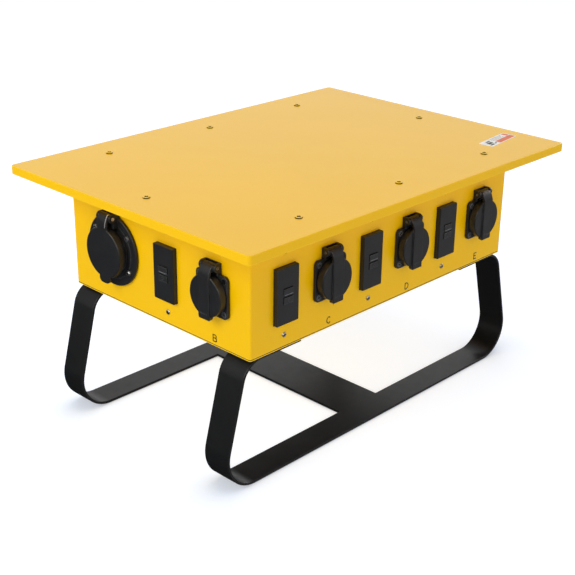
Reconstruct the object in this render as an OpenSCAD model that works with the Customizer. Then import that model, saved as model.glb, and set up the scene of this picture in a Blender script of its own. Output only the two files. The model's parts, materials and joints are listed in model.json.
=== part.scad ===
// Portable power distribution box: a sheet-steel enclosure under an overhanging cover, carried on a
// bent flat-bar sled. Each side panel holds dead-front ground-fault modules and twist-lock
// receptacles with spring flip lids. X runs along the long side, Z is up, and the origin is on the
// floor under the middle of the box. Millimetres.

/* [Enclosure] */
// Length of the enclosure
body_l = 460; // [450:1:480]
// Width of the enclosure
body_w = 305; // [300:1:320]
// Height of the enclosure's underside above the floor
lift = 156.5; // [140:0.5:180]
// Height of the cover's top face above the floor
top_z = 307; // [306:0.5:330]
// Thickness of the sheet steel
sheet = 2; // [1.5:0.1:2]
// Thickness of the bottom plate
floor_t = 2.5; // [2:0.5:3]
// Width of the frame that stands out round the enclosure's mouth
mouth_flange = 18; // [16:1:20]

/* [Top cover] */
// Length of the cover
cover_l = 560; // [550:1:580]
// Width of the cover
cover_w = 406; // [400:1:420]
// Depth of the cover's down-turned lip
lip = 10.5; // [8:0.5:12]

/* [Sled] */
// Width of the flat bar
bar_w = 38; // [34:1:40]
// Thickness of the flat bar
bar_t = 3.5; // [3:0.5:5]
// Distance from the middle to a runner's outer edge
runner_y = 150; // [146:1:152]
// Where a leg's outer face would meet the plane of the enclosure's underside
leg_top = 233; // [228:1:238]
// Where a leg's outer face would meet the floor
leg_foot = 273.5; // [268:0.5:278]
// Outer radius of the bend under the enclosure
bend_top = 30; // [24:1:34]
// Outer radius of the bend at the floor
bend_foot = 42; // [36:1:48]
// Distance from the middle to the inner end of a mounting pad
pad_in = 148; // [140:1:152]
// Width of the cross bar
cross_w = 70; // [60:1:80]

/* [Panel layout] */
// Height of the row of devices above the floor
row_z = 221; // [219:0.5:223]
// First device of the long row, from the middle of its panel
row_first = -178.5; // [-180:0.5:-177]
// Spacing of the devices in the long row
pitch = 70.4; // [69.5:0.1:71]
// Height of the flanged 50 A devices above the floor
feed_z = 223; // [221:0.5:224]
// Ground-fault module on an end panel, from the middle of the panel
end_gfci_u = 19.5; // [17:0.5:21]
// Receptacle on an end panel, from the middle of the panel
end_outlet_u = 97; // [95:0.5:99]
// Flanged 50 A device on an end panel, from the middle of the panel
feed_u = -74; // [-76:0.5:-72]
// Breaker window on the back panel, from the middle of the panel
breaker_u = 70; // [60:1:80]

/* [Ground-fault modules] */
// Width and height of the module's face
gfci_face = [33.3, 66.7];
// How far the face stands out of the panel
gfci_proud = 6; // [5:0.5:7]
// Width and height of a push button
button = [14, 7.5];
// Distance from the module's centre to a button's centre
button_off = 5; // [4.9:0.1:6]
// How far a button stands out of the face
button_proud = 1; // [0.8:0.1:1.5]
// Distance from the module's centre to a mounting screw
gfci_screw_y = 48.4; // [47:0.1:50]

/* [20 A receptacles] */
// Side of the square flange
plate = 50; // [49:0.5:52]
// Thickness of the flange
plate_t = 4; // [3.5:0.5:4]
// Distance from the centre lines to a flange screw
plate_screw = 19.25; // [19:0.25:20]
// Radius of the bore that the contact insert fits
outlet_bore = 19; // [18.5:0.1:19]
// Radius of the flip lid
lid_r = 24.5; // [24:0.1:24.5]
// Height of the lid's front face above the panel
lid_z = 14; // [14:0.5:16]
// Width of the lid's raised rib and hinge arm
arm_w = 17.4; // [16:0.2:17.4]
// Hinge axis of the lid: distance above the centre and distance out of the panel
hinge = [33, 6];

/* [50 A flanged devices] */
// Radius of the round flange
feed_r = 44; // [43:0.5:46]
// Radius of the collar's bore
feed_bore = 24; // [23:0.5:24]
// Radius of the flip lid
feed_lid_r = 31; // [30:0.5:31]
// Height of the lid's front face above the panel
feed_lid_z = 18; // [18:0.5:20]
// Hinge axis of the lid: distance above the centre and distance out of the panel
feed_hinge = [42.5, 10.5];
// Radius and angle from horizontal of the flange screws
feed_screw = [36, 36];

/* [Breakers] */
// Number of breakers on the rail
breaker_count = 6; // [4:1:6]
// Spacing of the breakers
breaker_pitch = 17.5; // [17.5:0.1:18]
// Swing of a toggle either side of straight out
toggle_tilt = 25; // [20:1:30]

/* [Hidden] */
FRONT = 0;
LEFT = -90;
RIGHT = 90;
BACK = 180;
$fn = 64;
e = 1;                                     // cutters run past the faces they open by this much
cover_z = top_z - sheet;                   // underside of the cover's sheet
shell_z = lift + floor_t;                  // lower edge of the enclosure's walls
mouth_z = cover_z - sheet;                 // upper edge of the enclosure's walls
leg_tilt = atan((leg_foot - leg_top) / lift);
top_turn = 90 - leg_tilt;
foot_turn = 90 + leg_tilt;
top_tan = bend_top * tan(top_turn / 2);
foot_tan = bend_foot * tan(foot_turn / 2);
bend_steps = 24;                           // straight steps along each bend of the flat bar
lid_t = 2.5;
lid_skirt_z = 5.6;
ear_t = 3.75;
ear_gap = 0.2;
pin_r = 1.5;
feed_pin_r = 2;
feed_arm_w = 18;
feed_ear_t = 3.5;
feed_cup_z = -40;
fit = 0.05;                                // radial running clearance on the hinge pins
frame_size = [150, 96];
window = [112, 52];
frame_t = 6;
flap_hinge = [38, 9.5];
flap_z = 20;
breaker_h = 81;
nose_h = 45;
nose_z = 2;
rail_z = -60;                              // the breakers' back, seen from the panel's outer face
toggle_z = -3;
bolt_x = [164, 192];
yellow = [0.93, 0.72, 0.05];
black = [0.13, 0.13, 0.14];
nylon = [0.17, 0.17, 0.18];

// letter, panel and distance from the panel's middle, for each receptacle and its module
outlets = [
    ["a", BACK, row_first + pitch],
    ["b", LEFT, end_outlet_u],
    ["c", FRONT, row_first + pitch],
    ["d", FRONT, row_first + 3 * pitch],
    ["e", FRONT, row_first + 5 * pitch],
    ["f", RIGHT, end_outlet_u]
];
gfcis = [
    ["a", BACK, row_first],
    ["b", LEFT, end_gfci_u],
    ["c", FRONT, row_first],
    ["d", FRONT, row_first + 2 * pitch],
    ["e", FRONT, row_first + 4 * pitch],
    ["f", RIGHT, end_gfci_u]
];
breakers = [for (i = [1 : breaker_count]) (i - (breaker_count + 1) / 2) * breaker_pitch];
cover_screws_at = [
    for (x = [-166, 0, 166], y = [-160, 160]) [x, y],
    [-240, 0],
    [240, 0]
];

// ---- placing things on the panels ----

// Distance from the middle of the box to a panel's outer face
function reach(side) = side == FRONT || side == BACK ? body_w / 2 : body_l / 2;

// Puts a device on a panel: its x runs to the right as seen from outside, y up and z out
module on_side(side, u, z) {
    rotate([0, 0, side])
        translate([u, -reach(side), z])
            rotate([90, 0, 0])
                children();
}

module at_outlet(o) {
    on_side(o[1], o[2], row_z)
        children();
}

module at_gfci(g) {
    on_side(g[1], g[2], row_z)
        children();
}

module at_feeds() {
    for (side = [LEFT, RIGHT])
        on_side(side, feed_u, feed_z)
            children();
}

module at_breakers() {
    on_side(BACK, breaker_u, row_z)
        children();
}

// ---- shared shapes ----

// Rectangle with round corners, centred
module round_outline(l, w, r) {
    square([l - 2 * r, w], center = true);
    square([l, w - 2 * r], center = true);
    for (x = [-1, 1], y = [-1, 1])
        translate([x * (l / 2 - r), y * (w / 2 - r)])
            circle(r);
}

module round_plate(l, w, t, r) {
    linear_extrude(t)
        round_outline(l, w, r);
}

// Box centred in x and y, between two heights
module block(l, w, z0, z1) {
    translate([-l / 2, -w / 2, z0])
        cube([l, w, z1 - z0]);
}

// Upright cylinder between two heights
module post(r, z0, z1) {
    translate([0, 0, z0])
        cylinder(h = z1 - z0, r = r);
}

// Cylinder along x, centred
module axle(r, l) {
    rotate([0, 90, 0])
        cylinder(h = l, r = r, center = true);
}

// Repeats its children at the four corners of a rectangle
module corners(x, y) {
    for (sx = [-1, 1], sy = [-1, 1])
        translate([sx * x, sy * y, 0])
            children();
}

// Side profile drawn as (y, z) points, extruded across x
module profile(points, w) {
    translate([-w / 2, 0, 0])
        rotate([90, 0, 90])
            linear_extrude(w)
                polygon(points);
}

// ---- enclosure ----

module enclosure() {
    color(yellow)
        difference() {
            translate([0, 0, shell_z])
                round_plate(body_l, body_w, mouth_z - shell_z, 3);
            translate([0, 0, shell_z - e])
                round_plate(body_l - 2 * sheet, body_w - 2 * sheet, top_z, 1);
            for (g = gfcis)
                at_gfci(g)
                    gfci_cutout();
            for (o = outlets)
                at_outlet(o)
                    outlet_cutout();
            at_feeds()
                feed_cutout();
            at_breakers()
                breaker_cutout();
        }
}

// Frame on the walls' upper edges, standing out past them to take the cover's screws
module mouth_frame() {
    color(yellow)
        difference() {
            translate([0, 0, mouth_z])
                round_plate(body_l + 2 * mouth_flange, body_w + 2 * mouth_flange, sheet, 4);
            translate([0, 0, mouth_z - e])
                round_plate(body_l - 2 * sheet, body_w - 2 * sheet, sheet + 2 * e, 1);
            cover_screw_holes();
        }
}

module gfci_cutout() {
    block(gfci_face[0] + 0.6, gfci_face[1] + 0.6, -sheet - e, e);
    for (s = [-1, 1])
        translate([0, s * gfci_screw_y, 0])
            post(1.7, -sheet - e, e);
}

module outlet_cutout() {
    post(outlet_bore + 1.2, -sheet - e, e);
    corners(plate_screw, plate_screw)
        post(1.8, -sheet - e, e);
}

module feed_cutout() {
    post(feed_bore + 7, -sheet - e, e);
    at_feed_screws()
        post(2.2, -sheet - e, e);
}

module breaker_cutout() {
    block(breaker_count * breaker_pitch + 1, nose_h + 1, -sheet - e, e);
    corners(68, 41)
        post(1.8, -sheet - e, e);
}

module bottom_plate() {
    color(yellow)
        difference() {
            translate([0, 0, lift])
                round_plate(body_l, body_w, floor_t, 3);
            for (x = bolt_x, sx = [-1, 1], sy = [-1, 1])
                translate([sx * x, sy * (runner_y - bar_w / 2), 0])
                    post(4.2, lift - e, shell_z + e);
        }
}

module top_cover() {
    color(yellow)
        difference() {
            translate([0, 0, top_z - lip])
                round_plate(cover_l, cover_w, lip, 5);
            translate([0, 0, top_z - lip - e])
                round_plate(cover_l - 2 * sheet, cover_w - 2 * sheet, lip + e - sheet, 3);
            cover_screw_holes();
        }
}

module cover_screw_holes() {
    for (p = cover_screws_at)
        translate(p)
            post(2.2, mouth_z - e, top_z + e);
}

module cover_screws() {
    color(yellow)
        for (p = cover_screws_at)
            translate(p) {
                post(4.2, top_z, top_z + 1.6);
                post(2, cover_z - 8, top_z);
            }
}

// ---- sled ----

// Points of an arc in the x-z plane, from one angle to another
function arc(centre, r, from, to) = [
    for (i = [0 : bend_steps])
        let (a = from + (to - from) * i / bend_steps)
            centre + r * [cos(a), sin(a)]
];

// One face of the bent bar, at a depth inside its outer face: pad, upper bend, lower bend and foot
function bar_face(depth) = concat(
    [[pad_in, lift - depth]],
    arc([leg_top - top_tan, lift - bend_top], bend_top - depth, 90, leg_tilt),
    arc([leg_foot - foot_tan, bend_foot], bend_foot - depth, leg_tilt, -90)
);

function mirrored(points) = [for (p = reversed(points)) [-p[0], p[1]]];

function reversed(points) = [for (i = [len(points) - 1 : -1 : 0]) points[i]];

module runner() {
    outer = bar_face(0);
    inner = bar_face(bar_t);
    color(black)
        difference() {
            translate([0, bar_w, 0])
                rotate([90, 0, 0])
                    linear_extrude(bar_w)
                        polygon(concat(outer, mirrored(outer), reversed(mirrored(inner)), reversed(inner)));
            for (x = bolt_x, s = [-1, 1])
                translate([s * x, bar_w / 2, 0])
                    post(4.2, lift - bar_t - e, lift + e);
        }
}

module front_runner() {
    translate([0, -runner_y, 0])
        runner();
}

module rear_runner() {
    translate([0, runner_y - bar_w, 0])
        runner();
}

module cross_bar() {
    color(black)
        block(cross_w, 2 * (runner_y - bar_w), 0, bar_t);
}

module runner_bolts() {
    color("silver")
        for (x = bolt_x, sx = [-1, 1], sy = [-1, 1])
            translate([sx * x, sy * (runner_y - bar_w / 2), 0]) {
                cylinder_hex(6.5, lift - bar_t - 5.3, lift - bar_t);
                post(4, lift - bar_t, shell_z);
                cylinder_hex(6.5, shell_z, shell_z + 6.5);
                post(4, shell_z + 6.5, shell_z + 9);
            }
}

module cylinder_hex(r, z0, z1) {
    translate([0, 0, z0])
        cylinder(h = z1 - z0, r = r * 1.15, $fn = 6);
}

// ---- ground-fault modules ----

module gfci_bodies() {
    color(nylon)
        for (g = gfcis)
            at_gfci(g)
                gfci_body();
}

module gfci_body() {
    difference() {
        union() {
            block(gfci_face[0], gfci_face[1], -sheet - 2, gfci_proud);
            block(gfci_face[0], 2 * gfci_screw_y + 10, -sheet - 2, -sheet);
            block(38, gfci_face[1], -34, -sheet - 2);
        }
        for (s = [-1, 1]) {
            translate([0, s * button_off, 0])
                block(button[0] + 0.6, button[1] + 0.6, gfci_proud - 4, gfci_proud + e);
            translate([0, s * gfci_screw_y, 0])
                post(1.6, -sheet - 2 - e, -sheet + e);
        }
    }
}

module push_button(g, s) {
    at_gfci(g)
        translate([0, s * button_off, 0])
            block(button[0], button[1], gfci_proud - 2.4, gfci_proud + button_proud);
}

module test_button(g) {
    color(nylon)
        push_button(g, 1);
}

module reset_button(g) {
    color(nylon)
        push_button(g, -1);
}

module gfci_screws() {
    color("silver")
        for (g = gfcis, s = [-1, 1])
            at_gfci(g)
                translate([0, s * gfci_screw_y, 0]) {
                    post(3, 0, 1.5);
                    post(1.5, -9, 0);
                }
}

// ---- 20 A receptacles ----

module outlet_base(o) {
    color(nylon)
        at_outlet(o)
            difference() {
                union() {
                    round_plate(plate, plate, plate_t, 6);
                    post(22.5, plate_t, 10);
                    post(outlet_bore + 0.8, -14, 0);
                    hinge_ears(hinge, arm_w / 2 + ear_gap, ear_t, 5, plate / 2 - 1, 1);
                }
                post(outlet_bore, -14 - e, 10 + e);
                corners(plate_screw, plate_screw)
                    countersunk(1.7, 3.5, plate_t);
                translate([0, hinge[0], hinge[1]])
                    axle(pin_r + 0.02, plate);
            }
}

// Two ears and the web behind them; at is the hinge axis, web the thickness of the web
module hinge_ears(at, inner, t, r, y0, web) {
    top = at[0] + r;
    for (s = [-1, 1])
        translate([s * (inner + t / 2), 0, 0]) {
            translate([-t / 2, y0, 0])
                cube([t, top - y0, at[1]]);
            translate([0, at[0], at[1]])
                axle(r, t);
        }
    translate([-inner - t, y0, 0])
        cube([2 * (inner + t), top - y0, web]);
}

// Clearance hole with a conical seat for a screw head flush with the given height
module countersunk(r, head_r, z) {
    post(r, -12, z + e);
    translate([0, 0, z - 2])
        cylinder(h = 2 + 0.001, r1 = r, r2 = head_r + 0.1);
}

module outlet_lid(o) {
    tab = -27;
    rib = 2;
    color(nylon)
        at_outlet(o)
            difference() {
                union() {
                    post(lid_r, lid_z - lid_t, lid_z);
                    ring(lid_r - 1.3, lid_r, lid_skirt_z, lid_z - lid_t);
                    intersection() {
                        lid_arm(arm_w, tab, lid_z, lid_t, hinge, 4.2, rib);
                        tongue(arm_w, tab, 2.5);
                    }
                    translate([0, hinge[0], hinge[1]])
                        axle(4.6, arm_w - 0.4);
                }
                hinge_bore(hinge, pin_r, 3.6, 6.4);
                translate([0, tab + 7.5, 0])
                    block(arm_w - 6, 1, lid_z + rib - 0.5, lid_z + rib + e);
            }
}

module ring(r_in, r_out, z0, z1) {
    difference() {
        post(r_out, z0, z1);
        post(r_in, z0 - e, z1 + e);
    }
}

// Upright slab with round corners at its lower end, and longer than any arm at its upper end
module tongue(w, low, r) {
    l = 100;
    translate([0, low + l / 2, 0])
        round_plate(w, l, l / 2, r);
}

// Rib over the lid, from the pull tab at the bottom to the hinge at the top
module lid_arm(w, tab, z, t, at, r, proud) {
    under = z - t;
    profile([
        [tab, under - 2],
        [tab, z + proud - 1],
        [tab + 1, z + proud],
        [at[0] - 8, z + proud],
        [at[0] - 0.5, at[1] + 7.2],
        [at[0] + 3.2, at[1] + 3.6],
        [at[0] + r, at[1] + 1],
        [at[0] + r, at[1]],
        [at[0] - r - 0.4, at[1]],
        [at[0] - r - 0.4, under],
        [tab + 4, under],
        [tab + 4, under - 2]
    ], w);
}

// Pin hole with a wider pocket in the middle for the torsion spring
module hinge_bore(at, r, pocket_r, pocket_w) {
    translate([0, at[0], at[1]]) {
        axle(r + fit, 60);
        axle(pocket_r, pocket_w);
    }
}

module outlet_inserts() {
    color([0.1, 0.1, 0.11])
        for (o = outlets)
            at_outlet(o)
                difference() {
                    post(outlet_bore - 0.1, -34, 7);
                    for (a = [0 : 120 : 240])
                        slot(9.2, 1.8, a, 50, -4, 7 + e);
                }
}

// Arc-shaped slot round z, starting at an angle and running through a turn
module slot(r, w, from, turn, z0, z1) {
    translate([0, 0, z0])
        rotate([0, 0, from])
            rotate_extrude(angle = turn)
                translate([r, 0])
                    square([w, z1 - z0]);
}

module outlet_hinge_pins() {
    color("silver")
        for (o = outlets)
            at_outlet(o)
                translate([0, hinge[0], hinge[1]])
                    axle(pin_r, arm_w + 2 * (ear_gap + ear_t));
}

module lid_springs() {
    color("silver") {
        for (o = outlets)
            at_outlet(o)
                translate([0, hinge[0], hinge[1]])
                    torsion_spring(2.4, 0.45, 6, 0.8);
        at_feeds()
            translate([0, feed_hinge[0], feed_hinge[1]])
                torsion_spring(3, 0.5, 7, 0.9);
    }
}

// Closely wound turns round x
module torsion_spring(r, wire, turns, step) {
    rotate([0, 90, 0])
        rotate_extrude()
            for (i = [0 : turns - 1])
                translate([r, (i - (turns - 1) / 2) * step])
                    circle(wire, $fn = 24);
}

module panel_screws() {
    color("silver") {
        for (o = outlets)
            at_outlet(o)
                corners(plate_screw, plate_screw) {
                    post(1.6, -8, plate_t - 2);
                    translate([0, 0, plate_t - 2])
                        cylinder(h = 2, r1 = 1.6, r2 = 3.5);
                }
        at_breakers()
            corners(68, 41) {
                post(1.6, -8, frame_t);
                post(3.2, frame_t, frame_t + 1.6);
            }
    }
}

// ---- 50 A flanged inlet and feed-through receptacle ----

module at_feed_screws() {
    for (s = [-1, 1], a = [feed_screw[1], 180 - feed_screw[1]])
        rotate([0, 0, s * a])
            translate([feed_screw[0], 0, 0])
                children();
}

// Round flange with a collar, hinge ears and a cup behind the panel
module feed_housing(side, cup_floor) {
    color(nylon)
        on_side(side, feed_u, feed_z)
            difference() {
                union() {
                    post(feed_r, 0, 4);
                    post(feed_bore + 3, feed_cup_z, 13);
                    hinge_ears(feed_hinge, feed_arm_w / 2 + ear_gap, feed_ear_t, 5.2, 30, 4);
                }
                post(feed_bore, cup_floor, 13 + e);
                ring(34, 35, 3.4, 4 + e);
                at_feed_screws()
                    post(2.1, -e, 4 + e);
                translate([0, feed_hinge[0], feed_hinge[1]])
                    axle(feed_pin_r + 0.02, feed_r);
            }
}

module inlet_flange() {
    feed_housing(LEFT, feed_cup_z + 4);
}

module feed_flange() {
    feed_housing(RIGHT, feed_cup_z + 2);
}

// Curved blades standing on the floor of the inlet's cup
module inlet_contacts() {
    color("gold")
        on_side(LEFT, feed_u, feed_z)
            for (a = [0 : 90 : 270])
                slot(15.5, 1.8, a + 20, 50, feed_cup_z + 4, -4);
}

module feed_insert() {
    color([0.1, 0.1, 0.11])
        on_side(RIGHT, feed_u, feed_z)
            difference() {
                post(feed_bore - 0.1, feed_cup_z + 2, 8);
                for (a = [0 : 90 : 270])
                    slot(15.2, 2.4, a + 18, 54, -8, 8 + e);
            }
}

module feed_cap(side) {
    color(nylon)
        on_side(side, feed_u, feed_z)
            difference() {
                union() {
                    post(feed_lid_r, feed_lid_z - 3, feed_lid_z);
                    ring(feed_lid_r - 1.6, feed_lid_r, 10, feed_lid_z - 3);
                    intersection() {
                        feed_arm(-38);
                        tongue(feed_arm_w, -38, 6);
                    }
                    translate([0, feed_hinge[0], feed_hinge[1]])
                        axle(5, feed_arm_w - 0.4);
                }
                hinge_bore(feed_hinge, feed_pin_r, 4, 8);
            }
}

// Arm from the pull tab under the lid to the hinge above it
module feed_arm(tab) {
    y = feed_hinge[0];
    z = feed_hinge[1];
    profile([
        [tab, feed_lid_z - 5],
        [tab, feed_lid_z],
        [y - 9, feed_lid_z],
        [y - 2, z + 7],
        [y + 3, z + 4],
        [y + 5, z + 1],
        [y + 5, z],
        [y - 5, z],
        [y - 5, feed_lid_z - 3],
        [-30, feed_lid_z - 3],
        [-30, feed_lid_z - 5]
    ], feed_arm_w);
}

module inlet_lid() {
    feed_cap(LEFT);
}

module feed_lid() {
    feed_cap(RIGHT);
}

module flange_hinge_pins() {
    color("silver")
        at_feeds()
            translate([0, feed_hinge[0], feed_hinge[1]])
                axle(feed_pin_r, feed_arm_w + 2 * (ear_gap + feed_ear_t));
}

module flange_screws() {
    color("silver")
        at_feeds()
            at_feed_screws() {
                post(3.6, 4, 6);
                post(2, -8, 4);
            }
}

// ---- breakers ----

module breaker_frame() {
    color(nylon)
        at_breakers()
            difference() {
                union() {
                    round_plate(frame_size[0], frame_size[1], frame_t, 5);
                    round_plate(window[0] + 6, window[1] + 6, frame_t + 4, 3);
                    for (s = [-1, 1])
                        translate([s * 58, 0, 0])
                            frame_ear();
                }
                block(window[0], window[1], -e, frame_t + 4 + e);
                corners(68, 41)
                    post(1.7, -e, frame_t + e);
                translate([0, flap_hinge[0], flap_hinge[1]])
                    axle(pin_r + 0.02, frame_size[0]);
            }
}

module frame_ear() {
    translate([-2.5, flap_hinge[0] - 4, frame_t - e])
        cube([5, 8, flap_hinge[1] - frame_t + e]);
    translate([0, flap_hinge[0], flap_hinge[1]])
        axle(4, 5);
}

// Clear hinged cover: a shallow tray turned towards the panel, hung from its top edge
module breaker_flap() {
    width = 124;
    low = -37;
    high = 33;
    depth = flap_z - frame_t - 0.5;
    mid = (low + high) / 2;
    color([0.3, 0.3, 0.32, 0.5])
        at_breakers()
            difference() {
                union() {
                    difference() {
                        translate([0, mid, flap_z - depth])
                            round_plate(width, high - low, depth, 4);
                        translate([0, mid, flap_z - depth - e])
                            round_plate(width - 4, high - low - 4, depth + e - 2, 2);
                    }
                    profile([
                        [high - 1, flap_z - 4],
                        [high - 1, flap_z],
                        [flap_hinge[0], flap_hinge[1] + 4.5],
                        [flap_hinge[0] + 3.2, flap_hinge[1]],
                        [flap_hinge[0] - 3.2, flap_hinge[1]],
                        [flap_hinge[0] - 3.2, flap_hinge[1] + 3]
                    ], 108);
                    translate([0, flap_hinge[0], flap_hinge[1]])
                        axle(3.2, 108);
                }
                translate([0, flap_hinge[0], flap_hinge[1]])
                    axle(pin_r + fit, width);
            }
}

module flap_hinge_pin() {
    color("silver")
        at_breakers()
            translate([0, flap_hinge[0], flap_hinge[1]])
                axle(pin_r, 121);
}

module breaker_bodies() {
    w = breaker_pitch - 0.1;
    color([0.75, 0.75, 0.74])
        at_breakers()
            for (x = breakers)
                translate([x, 0, 0])
                    difference() {
                        union() {
                            block(w, breaker_h, rail_z, -16);
                            block(w, nose_h, -16, nose_z);
                        }
                        block(9.2, 15, toggle_z - 7, nose_z + e);
                    }
}

module breaker_toggle(i) {
    color(black)
        at_breakers()
            translate([breakers[i - 1], 0, toggle_z])
                rotate([-toggle_tilt, 0, 0]) {
                    axle(6, 8.6);
                    block(8, 4, 0, 13);
                }
}

// Top-hat rail across the backs of the breakers, on two feet that stand on the bottom plate
module breaker_rail() {
    foot_y = shell_z - row_z;
    color("silver")
        at_breakers() {
            profile([
                [-17.5, rail_z],
                [17.5, rail_z],
                [17.5, rail_z - 1.2],
                [13.7, rail_z - 1.2],
                [13.7, rail_z - 7.5],
                [-13.7, rail_z - 7.5],
                [-13.7, rail_z - 1.2],
                [-17.5, rail_z - 1.2]
            ], 140);
            for (s = [-1, 1])
                translate([s * 60, 0, 0]) {
                    translate([-10, foot_y, rail_z - 10.5])
                        cube([20, 10 - foot_y, 3]);
                    translate([-10, foot_y, rail_z - 30])
                        cube([20, 3, 21]);
                }
        }
}

// ---- inside ----

// Neutral bar and earth bar, each on two feet, with a row of clamp screws
module terminal_bars() {
    color("gold")
        for (y = [-24, -64])
            translate([20, y, shell_z]) {
                block(120, 12, 12, 22);
                for (s = [-1, 1])
                    translate([s * 52, 0, 0])
                        block(10, 12, 0, 12);
                for (i = [-3 : 3])
                    translate([i * 15, 0, 0])
                        post(3, 22, 25);
            }
}

// Bundled conductors: four from the inlet, and one bundle to each panel
module wiring() {
    in_x = -body_l / 2 - feed_cup_z + 3;
    in_y = -feed_u;
    color([0.7, 0.1, 0.1]) {
        conductor([[in_x, in_y + 9, 232], [-165, 84, 250], [-118, 78, 284], [-105, 105, 284], [-105, 115, 265]]);
        conductor([[in_x, in_y - 9, 232], [-160, 60, 262], [-50, 66, 290], [-36, 105, 284], [-36, 115, 265]]);
        conductor([[in_x, in_y - 9, 214], [-150, 30, 200], [-70, -24, 192], [-52, -24, 190]]);
        conductor([[in_x, in_y + 9, 214], [-165, 40, 184], [-80, -64, 190], [-52, -64, 190]]);
        conductor([[-70, 115, 176], [-70, 60, 172], [-70, 20, 240], [-110, -60, 240], [-178, -112, 240]]);
        conductor([[-52, 115, 176], [-48, 60, 172], [-40, 0, 250], [-37.7, -112, 240]]);
        conductor([[-35, 115, 176], [-20, 60, 172], [40, 0, 250], [103, -112, 240]]);
        conductor([[-88, 115, 176], [-92, 60, 172], [-120, 20, 240], [-188, -19.5, 240]]);
        conductor([[-17.5, 115, 176], [20, 60, 172], [100, 20, 240], [188, 19.5, 240]]);
        conductor([[-8, 112, 176], [60, 80, 172], [150, 90, 240], [178, 112, 240]]);
    }
}

// Insulated wire along a route
module conductor(route) {
    wire_r = 2.5;
    for (i = [1 : len(route) - 1])
        hull() {
            translate(route[i - 1])
                sphere(wire_r, $fn = 10);
            translate(route[i])
                sphere(wire_r, $fn = 10);
        }
}

enclosure();
mouth_frame();
bottom_plate();
top_cover();
cover_screws();
front_runner();
rear_runner();
cross_bar();
runner_bolts();
for (o = outlets) {
    outlet_base(o);
    outlet_lid(o);
}
outlet_inserts();
outlet_hinge_pins();
lid_springs();
panel_screws();
gfci_bodies();
gfci_screws();
for (g = gfcis) {
    test_button(g);
    reset_button(g);
}
inlet_flange();
inlet_contacts();
inlet_lid();
feed_flange();
feed_insert();
feed_lid();
flange_hinge_pins();
flange_screws();
breaker_frame();
breaker_flap();
flap_hinge_pin();
breaker_bodies();
breaker_rail();
for (i = [1 : breaker_count]) {
    breaker_toggle(i);
}
terminal_bars();
wiring();
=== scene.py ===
"""Portable power distribution box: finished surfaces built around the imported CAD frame."""

import json
import math

import bmesh
import bpy
import numpy as np
from mathutils import Matrix, Vector
from mathutils.geometry import delaunay_2d_cdt

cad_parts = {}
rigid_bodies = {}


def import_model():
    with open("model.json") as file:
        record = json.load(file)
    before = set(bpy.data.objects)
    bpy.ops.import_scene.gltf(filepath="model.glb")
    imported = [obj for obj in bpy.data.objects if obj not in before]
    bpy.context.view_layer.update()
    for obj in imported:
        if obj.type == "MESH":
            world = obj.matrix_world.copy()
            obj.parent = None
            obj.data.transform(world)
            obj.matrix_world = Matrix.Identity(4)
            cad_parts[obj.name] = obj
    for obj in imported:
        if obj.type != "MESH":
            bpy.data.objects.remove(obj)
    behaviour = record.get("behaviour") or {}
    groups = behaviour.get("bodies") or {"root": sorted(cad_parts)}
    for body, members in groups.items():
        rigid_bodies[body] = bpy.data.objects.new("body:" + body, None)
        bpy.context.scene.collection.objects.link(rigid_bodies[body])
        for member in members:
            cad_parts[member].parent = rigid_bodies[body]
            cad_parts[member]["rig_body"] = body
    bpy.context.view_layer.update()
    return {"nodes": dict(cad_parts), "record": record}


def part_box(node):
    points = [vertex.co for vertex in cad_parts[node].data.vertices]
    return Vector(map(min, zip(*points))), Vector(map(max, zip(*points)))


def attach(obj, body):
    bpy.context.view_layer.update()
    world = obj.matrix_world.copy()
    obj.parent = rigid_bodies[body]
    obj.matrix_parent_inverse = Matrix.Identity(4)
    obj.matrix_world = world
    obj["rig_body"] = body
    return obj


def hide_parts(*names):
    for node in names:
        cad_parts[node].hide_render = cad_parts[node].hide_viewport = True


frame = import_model()

MM = 0.001
WELD = 0.002 * MM
WALL_FOOT, WALL_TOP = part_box("enclosure")  # the lowest and highest corner of the four walls
SLOT_OF = {part["node"]: part["material_slot"] for part in frame["record"]["subparts"]}
LETTERS = "abcdef"


# ---------------------------------------------------------------- shader helpers

def new_material(name):
    """An empty Principled material, with its node tree and its shader."""
    material = bpy.data.materials.new(name)
    material.use_nodes = True
    return material, material.node_tree, material.node_tree.nodes["Principled BSDF"]


def node(tree, kind, settings=None, inputs=None):
    """One shader node with its settings and its unlinked inputs filled in."""
    made = tree.nodes.new(kind)
    for key, value in (settings or {}).items():
        setattr(made, key, value)
    for key, value in (inputs or {}).items():
        made.inputs[key].default_value = value
    return made


def noise(tree, scale, detail=3.0):
    """A noise pattern in the piece's own coordinates. Scale counts its cells in a metre."""
    place = node(tree, "ShaderNodeTexCoord")
    made = node(tree, "ShaderNodeTexNoise", inputs={"Scale": scale, "Detail": detail})
    tree.links.new(place.outputs["Object"], made.inputs["Vector"])
    return made.outputs["Fac"]


def remap(tree, value, low, high, out_low, out_high):
    """Value moved from the range low..high to out_low..out_high, and held inside it."""
    made = node(tree, "ShaderNodeMapRange", inputs={
        "From Min": low, "From Max": high, "To Min": out_low, "To Max": out_high})
    tree.links.new(value, made.inputs["Value"])
    return made.outputs["Result"]


def mix_colour(tree, factor, first, second):
    """First where factor is 0 and second where it is 1. Each is a colour or an output."""
    made = node(tree, "ShaderNodeMix", {"data_type": "RGBA"})
    for socket, value in ((made.inputs[0], factor), (made.inputs[6], first), (made.inputs[7], second)):
        if isinstance(value, bpy.types.NodeSocket):
            tree.links.new(value, socket)
        else:
            socket.default_value = value
    return made.outputs[2]


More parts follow.
